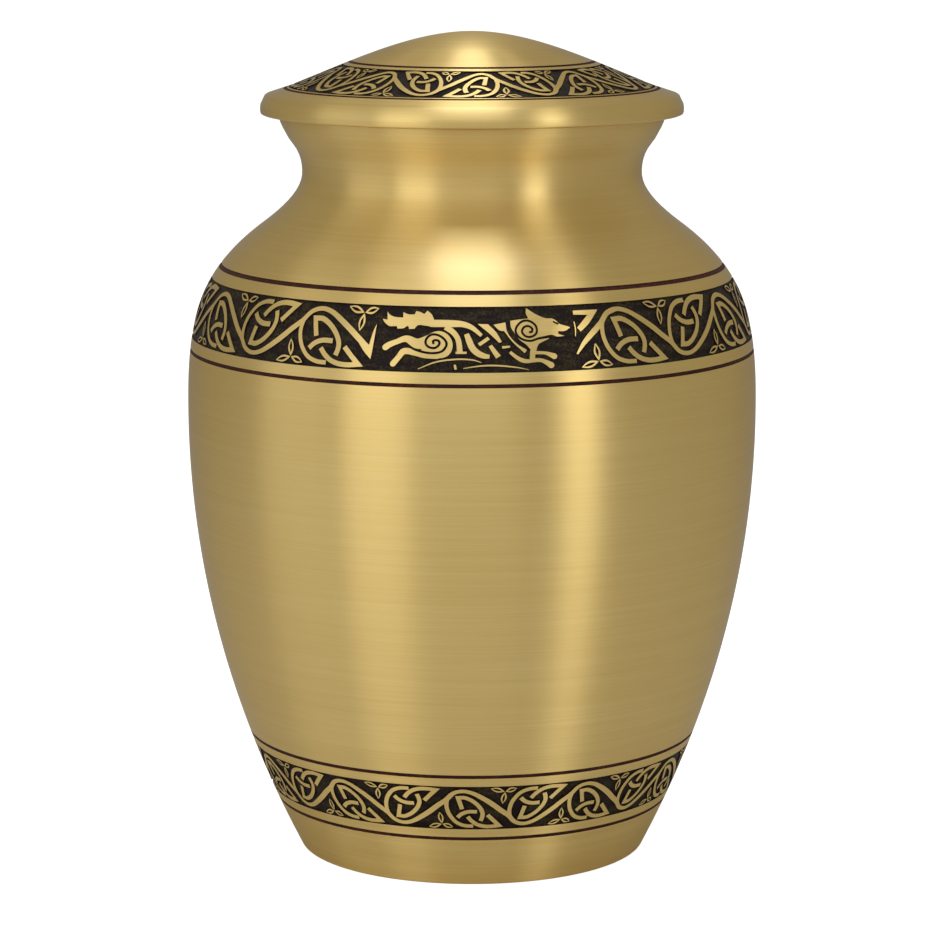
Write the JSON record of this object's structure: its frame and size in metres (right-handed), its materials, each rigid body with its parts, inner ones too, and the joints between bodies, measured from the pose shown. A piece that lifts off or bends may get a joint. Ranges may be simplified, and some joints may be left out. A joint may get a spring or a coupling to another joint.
{
  "type": "cremation urn",
  "caption": "Shouldered brass urn with a narrow neck, a lift-off domed lid and sunk dark bands of scroll and knot carving, a running hound at the front",
  "frame": {"origin": "centre of the flat underside, where the urn rests", "axes": "+Z is the axis of the turned shape, up through the lid; -Y faces the front, where the hound runs; +X is to the right of the front"},
  "size_m": [0.18, 0.18, 0.2601],
  "materials": {
    "urn_body_brass": "satin, finely brushed round the axis, with dark antiqued ground in the carved bands",
    "urn_lid_brass": "satin, finely brushed round the axis, with dark antiqued ground in the carved band"
  },
  "bodies": {
    "root": {"urn_body": "urn_body_brass", "urn_lid": "urn_lid_brass"}
  },
  "joints": []
}
